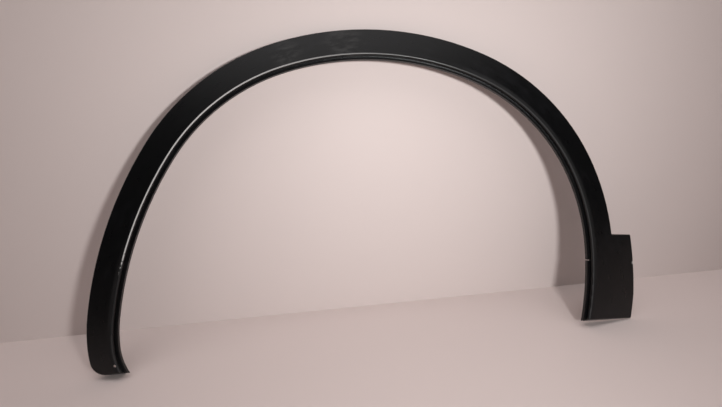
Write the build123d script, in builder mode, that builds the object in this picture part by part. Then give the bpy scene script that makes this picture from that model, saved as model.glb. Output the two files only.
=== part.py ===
"""Wheel arch trim: one black plastic moulding, a thin shell that follows a wheel opening.

Millimetres. X runs along the car, -Y points outboard (away from the car), Z is up. The origin is at the
middle of the bottom of the trim's box. The outer edge is a chain of tangent arcs and one section runs along
all of it; at the right foot the same face runs further out and ends as a block.
"""
import math
import os

from build123d import *

os.makedirs("parts", exist_ok=True)

# Overall sizes
WIDTH = 918.5            # left leg to the end block's outer side
WALL = 2.5               # wall thickness of the moulding

# Section across the band: u runs inwards from the outer edge, v outboard from the body panel
RIDGE_U = 43.0           # outer edge to the inner side of the ridge
RIDGE_V = 24.0           # ridge
RIDGE_R = 2.4            # rounding of the ridge
FACE_R = 1500.0          # the face is slightly convex across its width
STEP_SLANT = 10.0        # degrees that the step below the ridge leans towards the wheel
LEDGE_V = 17.0           # ledge at the foot of the step
LEDGE_W = 4.6            # its width
LEDGE_RISE = 0.4         # its rise towards the wheel
FLANGE_H = 5.4           # depth of the return flange behind the ledge
FLANGE_LEAN = 1.0        # the return flange leans this far towards the wheel

# Path of the outer edge, from the left leg's outermost point over the crown to the right foot. The crown's
# radius follows from the width
LEG_Z = 49.0             # height of the left leg's outermost point
TOE_RADIUS = 147.0       # the left toe curves in below that point
TOE_TURN = 31.0          # degrees
LEFT_RADII = (285.0, 655.0, 373.0)
LEFT_TURNS = (10.8, 25.2, 40.0)
CROWN_TURN = 40.0
RIGHT_RADII = (362.0, 397.0, 581.0)
RIGHT_TURNS = (40.0, 24.0, 16.0)

# Feet: cut so that they rise outboard
FOOT_SLANT = 20.0        # degrees
RIGHT_FOOT_SLOPE = 2.3   # degrees that the right foot falls away outwards
TOE_CORNER_R = 27.0
TOE_SIDE_R = 10.0        # blends that corner into the outer edge

# End block at the right foot
BLOCK_W = 43.0           # how far it stands out from the arch
BLOCK_EDGE_V = 3.30      # outer edge of its face, from which the face's slope follows
BLOCK_TOP_Z = 148.3      # top outer corner
BLOCK_TOP_SLOPE = 6.4    # degrees that its top falls away outwards
BLOCK_SIDE_R = 620.0     # its outer side is bowed
BLOCK_BOW_Z = 84.0       # height at which the bow stands out most
BLOCK_CORNER_R = 2.5     # its outer corners
BLOCK_NECK_R = 3.0       # where its top meets the arch
CHIP_R = 2.2             # chip out of the outer side's front edge
CHIP_Z = 99.0
EDGE_BEVEL = 1.0         # bevel of every front edge that a cut makes

# Fixings. Angles are degrees turned along the outer edge from the left leg's outermost point
SCREW_R = 2.3            # screw hole in the face at the toe
SCREW_ANGLE = -15.0
SCREW_U = 38.0
SLIT_W = 1.8             # slit across the ledge beside the end block
SLIT_ANGLE = 182.0
BOSS_R = 7.0             # clip bosses on the back
BOSS_U = 22.0
CLIP_R = 4.0             # their blind bores
CLIP_DEPTH = 9.0
BOSS_ANGLES = (4.0, 48.0, 96.0, 144.0, 187.0)
RIB_T = 1.8              # cross ribs on the back
RIB_BACK = 2.0           # the ribs stop this far short of the body panel
RIB_ANGLES = (16.0, 32.0, 64.0, 80.0, 112.0, 128.0, 160.0, 172.0)

MARGIN = 40.0            # overshoot of cutting shapes
LIP_Y = RIDGE_V / 2
X_LEFT = -WIDTH / 2
X_RIGHT = WIDTH / 2


def unit(deg):
    """Unit vector in the X-Z plane, degrees from +X towards +Z."""
    return math.cos(math.radians(deg)), math.sin(math.radians(deg))


def run(heading, turn):
    """Advance in X of an arc of radius 1."""
    return unit(heading - 90.0)[0] + unit(heading - turn + 90.0)[0]


def crown_radius():
    """Radius that brings the arch's outermost right point to the end block."""
    rest = WIDTH - BLOCK_W
    heading = 90.0
    for r, turn in zip(LEFT_RADII, LEFT_TURNS):
        rest -= r * run(heading, turn)
        heading -= turn
    crown_run = run(heading, CROWN_TURN)
    heading -= CROWN_TURN
    for r, turn in zip(RIGHT_RADII[:-1], RIGHT_TURNS[:-1]):
        rest -= r * run(heading, turn)
        heading -= turn
    return rest / crown_run


def chain():
    """Arcs of the outer edge as (radius, turn, start heading, centre x, centre z), the toe first."""
    arcs = [(TOE_RADIUS, TOE_TURN, 90.0 + TOE_TURN, X_LEFT + TOE_RADIUS, LEG_Z)]
    radii = LEFT_RADII + (crown_radius(),) + RIGHT_RADII
    turns = LEFT_TURNS + (CROWN_TURN,) + RIGHT_TURNS
    x, z, heading = X_LEFT, LEG_Z, 90.0
    for r, turn in zip(radii, turns):
        ux, uz = unit(heading - 90.0)
        cx, cz = x + r * ux, z + r * uz
        arcs.append((r, turn, heading, cx, cz))
        heading -= turn
        ox, oz = unit(heading + 90.0)
        x, z = cx + r * ox, cz + r * oz
    return arcs


ARCS = chain()


def station(angle, u=0.0):
    """Point at u inwards from the outer edge."""
    for r, turn, heading, cx, cz in ARCS:
        if 90.0 - angle >= heading - turn:
            break
    ox, oz = unit(180.0 - angle)
    return cx + (r - u) * ox, cz + (r - u) * oz


def edge_arcs(inset):
    """Start, middle and end of each arc of the outer edge, moved inwards."""
    arcs = []
    for r, turn, heading, cx, cz in ARCS:
        ends = []
        for share in (0.0, 0.5, 1.0):
            ox, oz = unit(heading + 90.0 - share * turn)
            ends.append((cx + (r - inset) * ox, cz + (r - inset) * oz))
        arcs.append(ends)
    return arcs


def band_plane(angle):
    """Plane across the band: local x inwards from the outer edge, local y outboard."""
    x, z = station(angle)
    ux, uz = unit(-angle)
    return Plane(origin=(x, LIP_Y, z), x_dir=(ux, 0, uz), z_dir=(uz, 0, -ux))


def panel_plane(angle, u):
    """Plane on the body panel behind the band, facing outboard."""
    x, z = station(angle, u)
    return Plane(origin=(x, LIP_Y, z), z_dir=(0, -1, 0))


# Points of the section
STEP = unit(STEP_SLANT)
RIDGE_C = (RIDGE_U - RIDGE_R, RIDGE_V - RIDGE_R)


def face_centre():
    """Centre of the face's arc: through the block's outer edge, and touching the ridge's rounding."""
    qx, qy = RIDGE_C[0] + BLOCK_W, RIDGE_C[1] - BLOCK_EDGE_V
    inner = FACE_R - RIDGE_R
    d = math.hypot(qx, qy)
    along = (FACE_R * FACE_R - inner * inner + d * d) / (2 * d)
    side = math.sqrt(FACE_R * FACE_R - along * along)
    ex, ey = qx / d, qy / d
    return along * ex + side * ey - BLOCK_W, BLOCK_EDGE_V + along * ey - side * ex


FACE_C = face_centre()


def on_face(inset, u):
    """Height of the face at u, inset from the outside by a wall."""
    return FACE_C[1] + math.sqrt((FACE_R - inset) ** 2 - (u - FACE_C[0]) ** 2)


def on_step(v):
    """Place u of the step below the ridge at height v."""
    return RIDGE_C[0] + (RIDGE_R + (RIDGE_C[1] - v) * STEP[1]) / STEP[0]


RIDGE_DEG = math.degrees(math.atan2(RIDGE_C[1] - FACE_C[1], RIDGE_C[0] - FACE_C[0]))
CREST_DEG = (RIDGE_DEG + STEP_SLANT) / 2
TANGENT = (RIDGE_C[0] + RIDGE_R * unit(RIDGE_DEG)[0], RIDGE_C[1] + RIDGE_R * unit(RIDGE_DEG)[1])
CREST = (RIDGE_C[0] + RIDGE_R * unit(CREST_DEG)[0], RIDGE_C[1] + RIDGE_R * unit(CREST_DEG)[1])
STEP_TOP = (RIDGE_C[0] + RIDGE_R * STEP[0], RIDGE_C[1] + RIDGE_R * STEP[1])
STEP_FOOT = (on_step(LEDGE_V), LEDGE_V)
LEDGE_END = (STEP_FOOT[0] + LEDGE_W, LEDGE_V + LEDGE_RISE)
HEEL = (LEDGE_END[0] + FLANGE_LEAN, LEDGE_END[1] - FLANGE_H)
WIDE = -BLOCK_W - 2 * BLOCK_CORNER_R
STEP_IN = STEP_TOP[0] - WALL
LEDGE_IN = LEDGE_END[0] - WALL
STEP_IN_TOP = (STEP_IN, on_face(WALL, STEP_IN))
BACK_U = STEP_IN - WALL          # ribs and foot walls end here behind the return flange

# The section's solid, run along every arc, outside and inside. Its face runs on past the outer edge
with BuildPart() as outside:
    for r, turn, heading, cx, cz in ARCS:
        with BuildSketch(band_plane(90.0 - heading)):
            with BuildLine():
                Line((WIDE, 0), (WIDE, on_face(0.0, WIDE)))
                ThreePointArc((WIDE, on_face(0.0, WIDE)), (0, on_face(0.0, 0)), TANGENT)
                ThreePointArc(TANGENT, CREST, STEP_TOP)
                Polyline(STEP_TOP, STEP_FOOT, LEDGE_END, HEEL, (BACK_U, HEEL[1]), (BACK_U, 0), (WIDE, 0))
            make_face()
        revolve(axis=Axis((cx, 0, cz), (0, 1, 0)), revolution_arc=turn)

with BuildPart() as inside:
    for r, turn, heading, cx, cz in ARCS:
        with BuildSketch(band_plane(90.0 - heading)):
            with BuildLine():
                Line((WIDE, -MARGIN), (WIDE, on_face(WALL, WIDE)))
                ThreePointArc((WIDE, on_face(WALL, WIDE)), (0, on_face(WALL, 0)), STEP_IN_TOP)
                Polyline(STEP_IN_TOP, (STEP_IN, LEDGE_V - WALL),
                         (LEDGE_IN, LEDGE_END[1] - WALL), (LEDGE_IN, HEEL[1]), (HEEL[0] + MARGIN, HEEL[1]),
                         (HEEL[0] + MARGIN, -MARGIN), (WIDE, -MARGIN))
            make_face()
        revolve(axis=Axis((cx, 0, cz), (0, 1, 0)), revolution_arc=turn)

# Outline from the front: the arch within its outer edge, and the end block
FRONT = Plane(origin=(0, LIP_Y, 0), x_dir=(1, 0, 0), z_dir=(0, -1, 0))
BLOCK_LEFT = X_RIGHT - 2 * BLOCK_W
BLOCK_RISE = 2 * BLOCK_W * math.tan(math.radians(BLOCK_TOP_SLOPE))


def side_x(inset, z):
    """Outer side of the block at height z."""
    r = BLOCK_SIDE_R - inset
    return X_RIGHT - BLOCK_SIDE_R + math.sqrt(r * r - (BLOCK_BOW_Z - z) ** 2)


with BuildPart() as room:
    with BuildSketch(FRONT):
        with BuildLine():
            arcs = edge_arcs(0.0)
            for start, middle, end in arcs:
                ThreePointArc(start, middle, end)
            Line(arcs[-1][2], arcs[0][0])
        make_face()
        with BuildLine():
            Line((BLOCK_LEFT, -MARGIN), (BLOCK_LEFT, BLOCK_TOP_Z + BLOCK_RISE))
            Line((BLOCK_LEFT, BLOCK_TOP_Z + BLOCK_RISE), (side_x(0.0, BLOCK_TOP_Z), BLOCK_TOP_Z))
            RadiusArc((side_x(0.0, BLOCK_TOP_Z), BLOCK_TOP_Z), (side_x(0.0, -MARGIN), -MARGIN), BLOCK_SIDE_R)
            Line((side_x(0.0, -MARGIN), -MARGIN), (BLOCK_LEFT, -MARGIN))
        make_face()
    extrude(amount=RIDGE_V + MARGIN)
    corner = room.edges().filter_by(Axis.Y).sort_by_distance((X_RIGHT, 0, BLOCK_TOP_Z))[0]
    fillet(corner, BLOCK_CORNER_R)
    neck = room.edges().filter_by(Axis.Y).sort_by_distance((X_RIGHT - BLOCK_W, 0, BLOCK_TOP_Z))[0]
    fillet(neck, BLOCK_NECK_R)

with BuildPart() as inner_room:
    with BuildSketch(FRONT.offset(-MARGIN)):
        with BuildLine():
            arcs = edge_arcs(WALL)
            for start, middle, end in arcs:
                ThreePointArc(start, middle, end)
            Line(arcs[-1][2], arcs[0][0])
        make_face()
        with BuildLine():
            top = BLOCK_TOP_Z - WALL / unit(BLOCK_TOP_SLOPE)[0]
            Line((BLOCK_LEFT, -MARGIN), (BLOCK_LEFT, top + BLOCK_RISE))
            Line((BLOCK_LEFT, top + BLOCK_RISE), (side_x(WALL, top), top))
            RadiusArc((side_x(WALL, top), top), (side_x(WALL, -MARGIN), -MARGIN), BLOCK_SIDE_R - WALL)
            Line((side_x(WALL, -MARGIN), -MARGIN), (BLOCK_LEFT, -MARGIN))
        make_face()
    extrude(amount=RIDGE_V + 2 * MARGIN)

# Cuts that end the feet; the left one rounds the toe's corner
RISE = math.tan(math.radians(FOOT_SLANT))
FALL = math.tan(math.radians(RIGHT_FOOT_SLOPE))
TOE_PLANE = Plane(origin=(0, LIP_Y, 0), x_dir=(1, 0, 0), z_dir=(0, -1, RISE))
FOOT_PLANE = Plane(origin=(X_RIGHT, LIP_Y, 0), x_dir=(1, 0, -FALL), z_dir=(FALL, RISE, 1))

with BuildPart() as toe_cut:
    with BuildSketch(TOE_PLANE):
        with BuildLine():
            RadiusArc((X_LEFT, TOE_CORNER_R), (X_LEFT + TOE_CORNER_R, 0), -TOE_CORNER_R)
            Polyline((X_LEFT + TOE_CORNER_R, 0), (0, 0), (0, -MARGIN), (X_LEFT - MARGIN, -MARGIN),
                     (X_LEFT - MARGIN, TOE_CORNER_R), (X_LEFT, TOE_CORNER_R))
        make_face()
    extrude(amount=RIDGE_V + MARGIN, both=True)

with BuildPart() as toe_cut_inside:
    with BuildSketch(TOE_PLANE):
        with BuildLine():
            RadiusArc((X_LEFT + WALL, TOE_CORNER_R), (X_LEFT + TOE_CORNER_R, WALL), WALL - TOE_CORNER_R)
            Polyline((X_LEFT + TOE_CORNER_R, WALL), (0, WALL), (0, -MARGIN), (X_LEFT - MARGIN, -MARGIN),
                     (X_LEFT - MARGIN, TOE_CORNER_R), (X_LEFT + WALL, TOE_CORNER_R))
        make_face()
    extrude(amount=RIDGE_V + 2 * MARGIN, both=True)

# The outside of the moulding
with BuildPart() as body:
    add(outside.part)
    add(room.part, mode=Mode.INTERSECT)
    add(toe_cut.part, mode=Mode.SUBTRACT)
    with BuildSketch(FOOT_PLANE):
        Rectangle(WIDTH, WIDTH)
    extrude(amount=-2 * MARGIN, mode=Mode.SUBTRACT)
    low_corner = body.edges().filter_by(GeomType.ELLIPSE).sort_by_distance((X_RIGHT, LIP_Y, 0))[0]
    fillet(low_corner, BLOCK_CORNER_R)
    front = body.faces().filter_by(GeomType.REVOLUTION).edges()
    toe_sides = body.edges().filter_by(lambda edge: edge.geom_type == GeomType.BSPLINE and edge not in front)
    fillet(toe_sides.sort_by_distance((X_LEFT, 0, TOE_CORNER_R))[0], TOE_SIDE_R)
    cut_edges = body.faces().filter_by(GeomType.REVOLUTION).edges().filter_by(GeomType.BSPLINE)
    chamfer(cut_edges, EDGE_BEVEL)

# The hollow behind the face, with bosses and ribs left standing in it
with BuildPart() as hollow:
    add(inside.part)
    add(inner_room.part, mode=Mode.INTERSECT)
    add(toe_cut_inside.part, mode=Mode.SUBTRACT)
    with BuildSketch(FOOT_PLANE.offset(WALL)):
        Rectangle(WIDTH, WIDTH)
    extrude(amount=-3 * MARGIN, mode=Mode.SUBTRACT)
    for angle in BOSS_ANGLES:
        with BuildSketch(panel_plane(angle, BOSS_U)):
            Circle(BOSS_R)
        extrude(amount=RIDGE_V, mode=Mode.SUBTRACT)
    for angle in RIB_ANGLES:
        with BuildSketch(band_plane(angle)):
            with Locations((RIDGE_U / 2, RIDGE_V / 2 + RIB_BACK)):
                Rectangle(2 * RIDGE_U, RIDGE_V)
        extrude(amount=RIB_T / 2, both=True, mode=Mode.SUBTRACT)

with BuildPart() as arch_trim:
    add(body.part)
    add(hollow.part, mode=Mode.SUBTRACT)
    # Blind bores for push-in clips
    for angle in BOSS_ANGLES:
        with BuildSketch(panel_plane(angle, BOSS_U)):
            Circle(CLIP_R)
        extrude(amount=CLIP_DEPTH, mode=Mode.SUBTRACT)
    # Screw hole through the face at the toe
    with BuildSketch(panel_plane(SCREW_ANGLE, SCREW_U)):
        Circle(SCREW_R)
    extrude(amount=RIDGE_V, mode=Mode.SUBTRACT)
    # Chip out of the end block's outer edge
    with Locations((side_x(0.0, CHIP_Z), LIP_Y - on_face(0.0, -BLOCK_W), CHIP_Z)):
        Sphere(CHIP_R, mode=Mode.SUBTRACT)
    # Slit across the ledge and the return flange
    with BuildSketch(band_plane(SLIT_ANGLE)):
        with Locations((HEEL[0], LEDGE_V)):
            Rectangle(2 * (HEEL[0] - STEP_FOOT[0]), 2 * (LEDGE_V - HEEL[1] + WALL))
    extrude(amount=SLIT_W / 2, both=True, mode=Mode.SUBTRACT)

arch_trim.part.label = "arch_trim"
export_step(arch_trim.part, "parts/arch_trim.step")
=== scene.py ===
"""Wheel arch trim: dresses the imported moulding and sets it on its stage, as a Blender add-on script."""

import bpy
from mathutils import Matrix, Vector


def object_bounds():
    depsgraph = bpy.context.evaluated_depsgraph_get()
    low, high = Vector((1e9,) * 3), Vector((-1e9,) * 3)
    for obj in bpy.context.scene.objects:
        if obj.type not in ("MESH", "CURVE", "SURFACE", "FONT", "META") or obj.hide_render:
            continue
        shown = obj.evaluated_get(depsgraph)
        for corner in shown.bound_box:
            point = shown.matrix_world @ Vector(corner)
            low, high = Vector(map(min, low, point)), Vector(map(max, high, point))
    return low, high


bl_info = {
    "name": "Wheel Arch Trim",
    "version": (1, 0, 0),
    "blender": (4, 5, 0),
    "location": "View3D > Sidebar > Arch Trim",
    "description": "Finishes a moulded wheel arch trim and sets up its stage",
    "category": "Object",
}

import math

import bpy
from bpy.props import FloatProperty, FloatVectorProperty, PointerProperty
from mathutils import Matrix, Vector

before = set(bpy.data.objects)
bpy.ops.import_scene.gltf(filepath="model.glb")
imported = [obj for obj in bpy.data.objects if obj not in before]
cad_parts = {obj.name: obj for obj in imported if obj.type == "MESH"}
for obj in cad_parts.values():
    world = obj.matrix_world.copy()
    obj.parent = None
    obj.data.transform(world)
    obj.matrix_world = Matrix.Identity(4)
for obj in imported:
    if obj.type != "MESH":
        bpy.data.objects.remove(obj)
CAD_LOW, CAD_HIGH = [list(corner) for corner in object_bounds()]
MM = 0.001

# The point that the arch runs round, and the radius at which lengths along the band are true
WHEEL_CENTRE = (-18.0 * MM, 0.0, 70.0 * MM)
BAND_RADIUS = 440.0 * MM

# The ridge's crest is the most outboard line, as far from the origin as the back is. Its pale line, partly
# rubbed wear and partly a painted highlight, and its dulled strip each start at the first of two depths below
# the crest, and are whole at the second
CREST_Y = -CAD_HIGH[1]
RUB_AND_HIGHLIGHT_DEPTHS = (0.28 * MM, 0.08 * MM)
DULLED_DEPTHS = (1.6 * MM, 0.8 * MM)

# Places along the ridge, in radians about the wheel's centre: the end block's leg is near 0, the crown near
# 1.6 and the toe's leg near 3. The pale ridge line, partly rubbed wear and partly a painted highlight, grows
# from its least over one stretch and ends over another, where specks bring the end forward by up to the
# ragged amount below
RUB_HIGHLIGHT_LEAST = 0.03
RUB_HIGHLIGHT_GROWS = (1.2, 2.3)
RUB_HIGHLIGHT_ENDS = (2.96, 3.01)
RUB_HIGHLIGHT_RAGGED = 0.25
# Spray has left the ridge clear about one place. Its dulling starts at the first distance from there, and is
# whole at the second
CLEAR_MIDDLE = 1.95
CLEAR_REACH = (0.7, 1.05)

# Small damage on the end block, as place, radius and how pale it is: a chip and a nick
DAMAGE = (((459.0 * MM, 8.7 * MM, 99.0 * MM), 4.5 * MM, 1.0),
          ((418.5 * MM, -2.0 * MM, 14.0 * MM), 2.2 * MM, 0.12))
# Cloudy smudges near the crown, as place and reach, and how pale they are
SMUDGES = (((-112.0 * MM, -8.0 * MM, 488.0 * MM), 32.0 * MM),
           ((-20.0 * MM, -6.5 * MM, 500.0 * MM), 42.0 * MM))
SMUDGE_SHARE = 0.045

# How much longer than wide a handling mark is, and the levels of noise between which the haze, the smudges
# and the marks' roughness come in
MARK_STRETCH = 3.0
HAZE_LEVELS = (0.24, 0.44)
SMUDGE_LEVELS = (0.4, 0.64)
ROUGH_LEVELS = (0.3, 0.7)

# Roughness of the face, from clean to marked, and what spray, and the pale line of rubbing and painted
# highlight, add to it on the ridge
FACE_ROUGHNESS = (0.27, 0.31)
SPRAY_ROUGHNESS = 0.3
RUB_HIGHLIGHT_ROUGHNESS = 0.15

# Half the width of the floor and the wall, and the wall's height, in metres
STAGE_REACH = 6.0
WALL_HEIGHT = 5.0
# Width of a cloud in the paint, and the share of the colour that the darkest paint has
PAINT_CLOUD = 400.0 * MM
PAINT_SHADE = 0.96
# Where the ceiling starts and where it is brightest, as sines of the height, and the glow of the room below
CEILING_RISE = (0.62, 0.97)
ROOM_GLOW = 0.03

# A mix node's colour sockets, which share their names with its other sockets
MIX_A, MIX_B, MIXED = 6, 7, 2


def linear(hex_colour):
    """Linear RGBA of an sRGB hex colour."""
    parts = [int(hex_colour[i:i + 2], 16) / 255.0 for i in (1, 3, 5)]
    return [p / 12.92 if p <= 0.04045 else ((p + 0.055) / 1.055) ** 2.4 for p in parts] + [1.0]


class ArchTrimMoulding(bpy.types.PropertyGroup):
    """Finish of the moulding."""

    black: FloatVectorProperty(
        name="Plastic", description="Colour of the moulded plastic", subtype="COLOR", size=4,
        min=0.0, max=1.0, default=linear("#060607"))
    haze: FloatVectorProperty(
        name="Haze", description="Colour of the dull handling marks on the face", subtype="COLOR", size=4,
        min=0.0, max=1.0, default=linear("#0d0d0f"))
    # Pale paint on the ridge crest: partly rubbed wear, partly a painted highlight
    rub_and_painted_highlight: FloatVectorProperty(
        name="Rubbed ridge", description="Colour where the ridge is rubbed", subtype="COLOR", size=4,
        min=0.0, max=1.0, default=linear("#c6c4c2"))
    chipped: FloatVectorProperty(
        name="Chipped edge", description="Colour of whitened plastic in a chip", subtype="COLOR", size=4,
        min=0.0, max=1.0, default=linear("#a9a6a3"))
    grain: FloatProperty(
        name="Grain", description="Width of one pit of the moulded grain", unit="LENGTH", default=0.9 * MM)
    grain_depth: FloatProperty(
        name="Grain depth", description="Depth of the moulded grain", unit="LENGTH", default=0.06 * MM)
    speck: FloatProperty(
        name="Speck", description="Width of a speck at the end of the rubbed ridge", unit="LENGTH",
        default=4.0 * MM)
    scuff: FloatProperty(
        name="Scuff", description="Width of a handling mark", unit="LENGTH", default=9.0 * MM)
    patch: FloatProperty(
        name="Patch", description="Width of a patch of handling marks", unit="LENGTH", default=81.0 * MM)


class ArchTrimStage(bpy.types.PropertyGroup):
    """Floor, wall, light and camera."""

    floor_colour: FloatVectorProperty(
        name="Floor", description="Colour of the floor", subtype="COLOR", size=4,
        min=0.0, max=1.0, default=linear("#d9cbc7"))
    wall_colour: FloatVectorProperty(
        name="Wall", description="Colour of the wall", subtype="COLOR", size=4,
        min=0.0, max=1.0, default=linear("#e1d4d0"))
    room_colour: FloatVectorProperty(
        name="Room", description="Colour of the light from the ceiling and the room", subtype="COLOR", size=4,
        min=0.0, max=1.0, default=linear("#f4f0f0"))
    ceiling: FloatProperty(
        name="Ceiling", description="Brightness of the ceiling overhead", default=2.0)
    lean: FloatProperty(
        name="Lean", description="How far the trim leans back from upright on its floor", subtype="ANGLE",
        default=math.radians(15.5))
    wall_gap: FloatProperty(
        name="Wall gap", description="From the feet to the foot of the wall", unit="LENGTH",
        default=140.0 * MM)
    key_place: FloatVectorProperty(
        name="Lamp place", description="Lamp from the feet: to the right, inwards and up from the floor",
        subtype="TRANSLATION", unit="LENGTH", default=(0.26, -1.08, 0.58))
    key_aim: FloatVectorProperty(
        name="Lamp aim", description="Point that the lamp faces, measured as its place is",
        subtype="TRANSLATION", unit="LENGTH", default=(0.02, 0.1, 0.36))
    key_size: FloatProperty(
        name="Lamp width", description="Width of the lamp", unit="LENGTH", default=0.12)
    key_power: FloatProperty(
        name="Lamp power", description="Power of the lamp", unit="POWER", default=2.45)
    key_spread: FloatProperty(
        name="Lamp spread", description="Angle of the lamp's beam", subtype="ANGLE",
        default=math.radians(84.0))
    camera_place: FloatVectorProperty(
        name="Camera", description="Place of the camera", subtype="TRANSLATION", unit="LENGTH",
        default=(-0.1006, -0.8851, 0.2873))
    camera_pan: FloatProperty(
        name="Pan", description="How far the camera is turned to the left", subtype="ANGLE",
        default=math.radians(-5.755))
    camera_dip: FloatProperty(
        name="Dip", description="How far the camera looks down", subtype="ANGLE",
        default=math.radians(2.926))
    camera_roll: FloatProperty(
        name="Roll", description="Turn of the camera about its line of sight", subtype="ANGLE",
        default=math.radians(-4.453))
    lens: FloatProperty(
        name="Lens", description="Focal length of the camera in millimetres", unit="CAMERA", default=27.17)


def add_node(tree, kind, links=None, **settings):
    """Adds a node, sets its properties, and sets or links its inputs, by name or by number."""
    node = tree.nodes.new(kind)
    for name, value in settings.items():
        setattr(node, name, value)
    for name, value in (links or {}).items():
        socket = node.inputs[name]
        if isinstance(value, bpy.types.NodeSocket):
            tree.links.new(value, socket)
        else:
            socket.default_value = value
    return node


def band_space(tree):
    """A point's place, its turn about the wheel's centre, its place on the band laid straight, and its Y."""
    place = add_node(tree, "ShaderNodeTexCoord").outputs["Object"]
    centred = add_node(tree, "ShaderNodeVectorMath", {0: place, 1: WHEEL_CENTRE},
                       operation="SUBTRACT").outputs[0]
    axes = add_node(tree, "ShaderNodeSeparateXYZ", {0: centred}).outputs
    turn = add_node(tree, "ShaderNodeMath", {0: axes["Z"], 1: axes["X"]}, operation="ARCTAN2").outputs[0]
    along = add_node(tree, "ShaderNodeMath", {0: turn, 1: BAND_RADIUS}, operation="MULTIPLY").outputs[0]
    across = add_node(tree, "ShaderNodeVectorMath", {0: centred}, operation="LENGTH").outputs["Value"]
    band = add_node(tree, "ShaderNodeCombineXYZ", {"X": along, "Y": across, "Z": axes["Y"]}).outputs[0]
    return place, turn, band, axes["Y"]


def handling_marks(tree, finish, band):
    """Noise of the marks, which run along the band, and the share of haze where they gather in patches."""
    stretched = add_node(tree, "ShaderNodeVectorMath", {0: band, 1: (1 / MARK_STRETCH, 1.0, 1.0)},
                         operation="MULTIPLY").outputs[0]
    marks = add_node(tree, "ShaderNodeTexNoise", {"Vector": stretched, "Scale": 1 / finish.scuff,
                                                  "Detail": 4.0, "Roughness": 0.6}).outputs[0]
    patches = add_node(tree, "ShaderNodeTexNoise", {"Vector": band, "Scale": 1 / finish.patch,
                                                    "Detail": 2.0}).outputs[0]
    both = add_node(tree, "ShaderNodeMath", {0: marks, 1: patches}, operation="MULTIPLY").outputs[0]
    hazy = add_node(tree, "ShaderNodeMapRange", {"Value": both, "From Min": HAZE_LEVELS[0],
                                                 "From Max": HAZE_LEVELS[1]},
                    interpolation_type="SMOOTHSTEP").outputs[0]
    return marks, hazy


def rubbed_and_highlit_ridge(tree, finish, place, turn, outboard):
    """Share of the pale ridge line, part rubbed wear and part painted highlight: most on the toe's shoulder,
    less over the crown, and in specks where it ends.
    """
    ridge = add_node(tree, "ShaderNodeMapRange", {"Value": outboard, "From Min": CREST_Y + RUB_AND_HIGHLIGHT_DEPTHS[0],
                                                  "From Max": CREST_Y + RUB_AND_HIGHLIGHT_DEPTHS[1]},
                     interpolation_type="SMOOTHSTEP").outputs[0]
    grown = add_node(tree, "ShaderNodeMapRange", {"Value": turn, "From Min": RUB_HIGHLIGHT_GROWS[0],
                                                  "From Max": RUB_HIGHLIGHT_GROWS[1], "To Min": RUB_HIGHLIGHT_LEAST},
                     interpolation_type="SMOOTHSTEP").outputs[0]
    specks = add_node(tree, "ShaderNodeTexNoise", {"Vector": place, "Scale": 1 / finish.speck,
                                                   "Detail": 3.0}).outputs[0]
    ragged = add_node(tree, "ShaderNodeMath", {0: specks, 1: RUB_HIGHLIGHT_RAGGED, 2: turn},
                      operation="MULTIPLY_ADD").outputs[0]
    before_end = add_node(tree, "ShaderNodeMapRange", {"Value": ragged, "From Min": RUB_HIGHLIGHT_ENDS[1],
                                                       "From Max": RUB_HIGHLIGHT_ENDS[0]},
                          interpolation_type="SMOOTHSTEP").outputs[0]
    line = add_node(tree, "ShaderNodeMath", {0: ridge, 1: grown}, operation="MULTIPLY").outputs[0]
    return add_node(tree, "ShaderNodeMath", {0: line, 1: before_end}, operation="MULTIPLY").outputs[0]


def sprayed_ridge(tree, turn, outboard):
    """Share of dulling by road spray, on the ridge down both legs."""
    from_clear = add_node(tree, "ShaderNodeMath", {0: turn, 1: CLEAR_MIDDLE}, operation="SUBTRACT").outputs[0]
    beyond = add_node(tree, "ShaderNodeMath", {0: from_clear}, operation="ABSOLUTE").outputs[0]
    legs = add_node(tree, "ShaderNodeMapRange", {"Value": beyond, "From Min": CLEAR_REACH[0],
                                                 "From Max": CLEAR_REACH[1]},
                    interpolation_type="SMOOTHSTEP").outputs[0]
    strip = add_node(tree, "ShaderNodeMapRange", {"Value": outboard, "From Min": CREST_Y + DULLED_DEPTHS[0],
                                                  "From Max": CREST_Y + DULLED_DEPTHS[1]}).outputs[0]
    return add_node(tree, "ShaderNodeMath", {0: legs, 1: strip}, operation="MULTIPLY").outputs[0]


def spotted(tree, finish, place, marks, colour):
    """The colour with its smudges, whole within a quarter of their reach, and its damage, within half."""
    cloudy = add_node(tree, "ShaderNodeMapRange", {"Value": marks, "From Min": SMUDGE_LEVELS[0],
                                                   "From Max": SMUDGE_LEVELS[1], "To Max": SMUDGE_SHARE},
                      interpolation_type="SMOOTHSTEP").outputs[0]
    for centre, reach in SMUDGES:
        away = add_node(tree, "ShaderNodeVectorMath", {0: place, 1: centre},
                        operation="DISTANCE").outputs["Value"]
        near = add_node(tree, "ShaderNodeMapRange", {"Value": away, "From Min": reach, "From Max": reach / 4},
                        interpolation_type="SMOOTHSTEP").outputs[0]
        smudged = add_node(tree, "ShaderNodeMath", {0: near, 1: cloudy}, operation="MULTIPLY").outputs[0]
        colour = add_node(tree, "ShaderNodeMix", {"Factor": smudged, MIX_A: colour, MIX_B: finish.chipped},
                          data_type="RGBA").outputs[MIXED]
    for centre, radius, share in DAMAGE:
        away = add_node(tree, "ShaderNodeVectorMath", {0: place, 1: centre},
                        operation="DISTANCE").outputs["Value"]
        broken = add_node(tree, "ShaderNodeMapRange", {"Value": away, "From Min": radius,
                                                       "From Max": radius / 2, "To Max": share},
                          interpolation_type="SMOOTHSTEP").outputs[0]
        colour = add_node(tree, "ShaderNodeMix", {"Factor": broken, MIX_A: colour, MIX_B: finish.chipped},
                          data_type="RGBA").outputs[MIXED]
    return colour


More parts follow.
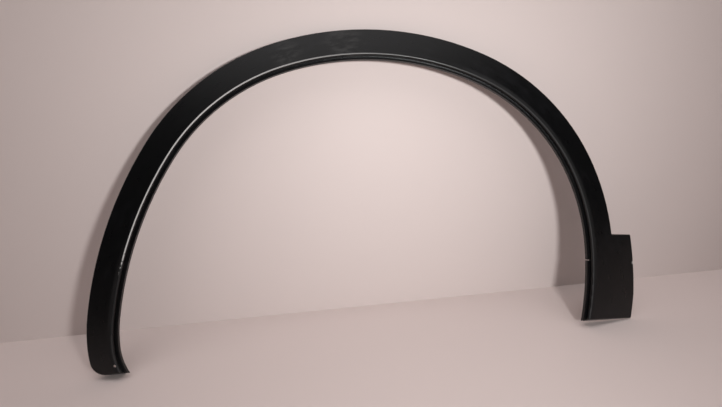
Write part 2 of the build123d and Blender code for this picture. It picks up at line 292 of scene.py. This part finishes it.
def satin_polypropylene(finish):
    """Talc-filled polypropylene, injection moulded on a fine-grained tool.

    The tool's grain gives a satin black: broad soft reflections with no clear image. Handling leaves duller,
    paler marks that run along the band. The ridge is painted pale, partly as rubbed wear and partly as a
    painted highlight, and road spray has dulled it down the legs.
    """
    material = bpy.data.materials.new("satin_black_polypropylene")
    material.use_nodes = True
    tree = material.node_tree
    tree.nodes.clear()
    place, turn, band, outboard = band_space(tree)
    marks, hazy = handling_marks(tree, finish, band)
    rub_and_painted_highlight = rubbed_and_highlit_ridge(tree, finish, place, turn, outboard)
    hazed = add_node(tree, "ShaderNodeMix", {"Factor": hazy, MIX_A: finish.black, MIX_B: finish.haze},
                     data_type="RGBA").outputs[MIXED]
    # Paints the pale ridge line over the plastic: partly rubbed wear, partly a painted highlight
    worn_and_highlit = add_node(tree, "ShaderNodeMix", {"Factor": rub_and_painted_highlight, MIX_A: hazed, MIX_B: finish.rub_and_painted_highlight},
                    data_type="RGBA").outputs[MIXED]
    colour = spotted(tree, finish, place, marks, worn_and_highlit)
    # A little rougher in the marks, and rougher still where the ridge is sprayed or carries the pale line of
    # rubbing and painted highlight
    face = add_node(tree, "ShaderNodeMapRange", {"Value": marks, "From Min": ROUGH_LEVELS[0],
                                                 "From Max": ROUGH_LEVELS[1], "To Min": FACE_ROUGHNESS[0],
                                                 "To Max": FACE_ROUGHNESS[1]}).outputs[0]
    sprayed = sprayed_ridge(tree, turn, outboard)
    dulled = add_node(tree, "ShaderNodeMath", {0: sprayed, 1: SPRAY_ROUGHNESS, 2: face},
                      operation="MULTIPLY_ADD").outputs[0]
    roughness = add_node(tree, "ShaderNodeMath", {0: rub_and_painted_highlight, 1: RUB_HIGHLIGHT_ROUGHNESS, 2: dulled},
                         operation="MULTIPLY_ADD").outputs[0]
    # The tool's grain, drawn about twice as coarse as the real 0.4 mm so that it shows
    pits = add_node(tree, "ShaderNodeTexNoise", {"Vector": place, "Scale": 1 / finish.grain,
                                                 "Detail": 2.0}).outputs[0]
    grain = add_node(tree, "ShaderNodeBump", {"Strength": 0.12, "Distance": finish.grain_depth,
                                              "Height": pits}).outputs[0]
    shader = add_node(tree, "ShaderNodeBsdfPrincipled", {"Base Color": colour, "Roughness": roughness,
                                                         "IOR": 1.49, "Specular IOR Level": 0.4,
                                                         "Normal": grain}).outputs[0]
    add_node(tree, "ShaderNodeOutputMaterial", {"Surface": shader})
    return material


def matt_emulsion(name, colour):
    """Matt paint on plaster, rolled on: flat and pale, faintly uneven. Seen from behind it is clear."""
    material = bpy.data.materials.new(name)
    material.use_nodes = True
    tree = material.node_tree
    tree.nodes.clear()
    place = add_node(tree, "ShaderNodeTexCoord").outputs["Object"]
    clouds = add_node(tree, "ShaderNodeTexNoise", {"Vector": place, "Scale": 1 / PAINT_CLOUD,
                                                   "Detail": 3.0}).outputs[0]
    darker = [c * PAINT_SHADE for c in colour[:3]] + [1.0]
    tint = add_node(tree, "ShaderNodeMix", {"Factor": clouds, MIX_A: darker, MIX_B: colour},
                    data_type="RGBA").outputs[MIXED]
    paint = add_node(tree, "ShaderNodeBsdfPrincipled", {"Base Color": tint, "Roughness": 0.8,
                                                        "IOR": 1.4}).outputs[0]
    clear = add_node(tree, "ShaderNodeBsdfTransparent").outputs[0]
    behind = add_node(tree, "ShaderNodeNewGeometry").outputs["Backfacing"]
    sided = add_node(tree, "ShaderNodeMixShader", {0: behind, 1: paint, 2: clear}).outputs[0]
    add_node(tree, "ShaderNodeOutputMaterial", {"Surface": sided})
    return material


class ARCHTRIM_OT_moulding(bpy.types.Operator):
    """Gives the moulding its satin black plastic"""

    bl_idname = "archtrim.moulding"
    bl_label = "Dress Moulding"

    def execute(self, context):
        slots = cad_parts["arch_trim"].data.materials
        material = satin_polypropylene(context.scene.archtrim_moulding)
        if not slots:
            slots.append(material)
        for i in range(len(slots)):
            slots[i] = material
        return {"FINISHED"}


def flat_sheet(scene, name, stand, corners, material):
    """A single flat stage sheet through four corners, measured from the trim's feet on their floor."""
    mesh = bpy.data.meshes.new(name)
    mesh.from_pydata([stand @ Vector(corner) for corner in corners], [], [(0, 1, 2, 3)])
    mesh.materials.append(material)
    sheet = bpy.data.objects.new(name, mesh)
    scene.collection.objects.link(sheet)


def floor_and_wall(scene, stage, stand):
    """A pale floor under the trim, and a pale wall behind it."""
    reach, gap, top = STAGE_REACH, stage.wall_gap, WALL_HEIGHT
    floor = [(-reach, -reach, 0), (reach, -reach, 0), (reach, reach, 0), (-reach, reach, 0)]
    wall = [(-reach, gap, 0), (reach, gap, 0), (reach, gap, top), (-reach, gap, top)]
    flat_sheet(scene, "floor", stand, floor, matt_emulsion("pale_floor_paint", stage.floor_colour))
    flat_sheet(scene, "wall", stand, wall, matt_emulsion("pale_wall_paint", stage.wall_colour))


def key_lamp(scene, stage, stand):
    """A small lamp behind the camera, to its right."""
    lamp = bpy.data.lights.new("key_light", "AREA")
    lamp.size = stage.key_size
    lamp.energy = stage.key_power
    lamp.spread = stage.key_spread
    key = bpy.data.objects.new("key_light", lamp)
    key.location = stand @ Vector(stage.key_place)
    facing = stand @ Vector(stage.key_aim) - key.location
    key.rotation_euler = facing.to_track_quat("-Z", "Y").to_euler()
    scene.collection.objects.link(key)


def ceiling_light(scene, stage, up):
    """A pale ceiling over a dark room: the world's brightness rises with height above the floor."""
    world = bpy.data.worlds.new("room")
    world.use_nodes = True
    tree = world.node_tree
    tree.nodes.clear()
    facing = add_node(tree, "ShaderNodeTexCoord").outputs["Generated"]
    height = add_node(tree, "ShaderNodeVectorMath", {0: facing, 1: up},
                      operation="DOT_PRODUCT").outputs["Value"]
    glow = add_node(tree, "ShaderNodeMapRange", {"Value": height, "From Min": CEILING_RISE[0],
                                                 "From Max": CEILING_RISE[1], "To Min": ROOM_GLOW,
                                                 "To Max": stage.ceiling},
                    interpolation_type="SMOOTHSTEP").outputs[0]
    sky = add_node(tree, "ShaderNodeBackground", {"Color": stage.room_colour, "Strength": glow}).outputs[0]
    add_node(tree, "ShaderNodeOutputWorld", {"Surface": sky})
    scene.world = world


def photo_camera(scene, stage):
    """A camera at the photograph's viewing angle."""
    lens = bpy.data.cameras.new("camera")
    lens.lens = stage.lens
    lens.sensor_width = 36.0
    camera = bpy.data.objects.new("camera", lens)
    camera.matrix_world = (Matrix.Translation(stage.camera_place)
                           @ Matrix.Rotation(stage.camera_pan, 4, "Z")
                           @ Matrix.Rotation(math.radians(90.0) - stage.camera_dip, 4, "X")
                           @ Matrix.Rotation(stage.camera_roll, 4, "Z"))
    scene.collection.objects.link(camera)
    scene.camera = camera


class ARCHTRIM_OT_stage(bpy.types.Operator):
    """Sets the floor, the wall, the lights and the camera"""

    bl_idname = "archtrim.stage"
    bl_label = "Set Stage"

    def execute(self, context):
        scene = context.scene
        stage = scene.archtrim_stage
        # The trim keeps its own upright frame, so the floor and the wall are tilted about its feet instead
        tilt = Matrix.Rotation(stage.lean, 4, "X")
        stand = Matrix.Translation((0.0, CAD_HIGH[1], CAD_LOW[2])) @ tilt
        floor_and_wall(scene, stage, stand)
        key_lamp(scene, stage, stand)
        ceiling_light(scene, stage, tilt @ Vector((0.0, 0.0, 1.0)))
        photo_camera(scene, stage)
        scene.view_settings.view_transform = "Standard"
        return {"FINISHED"}


class ARCHTRIM_PT_panel(bpy.types.Panel):
    """Lists the trim's steps and settings"""

    bl_idname = "ARCHTRIM_PT_panel"
    bl_label = "Arch Trim"
    bl_space_type = "VIEW_3D"
    bl_region_type = "UI"
    bl_category = "Arch Trim"

    def draw(self, context):
        layout = self.layout
        for operator, settings in (("archtrim.moulding", context.scene.archtrim_moulding),
                                   ("archtrim.stage", context.scene.archtrim_stage)):
            layout.operator(operator)
            for name in settings.__annotations__:
                layout.prop(settings, name)


CLASSES = (ArchTrimMoulding, ArchTrimStage, ARCHTRIM_OT_moulding, ARCHTRIM_OT_stage, ARCHTRIM_PT_panel)


def register():
    for cls in CLASSES:
        bpy.utils.register_class(cls)
    bpy.types.Scene.archtrim_moulding = PointerProperty(type=ArchTrimMoulding)
    bpy.types.Scene.archtrim_stage = PointerProperty(type=ArchTrimStage)


def unregister():
    del bpy.types.Scene.archtrim_stage
    del bpy.types.Scene.archtrim_moulding
    for cls in reversed(CLASSES):
        bpy.utils.unregister_class(cls)


def main():
    register()
    bpy.ops.archtrim.moulding()
    bpy.ops.archtrim.stage()


if __name__ == "__main__":
    main()
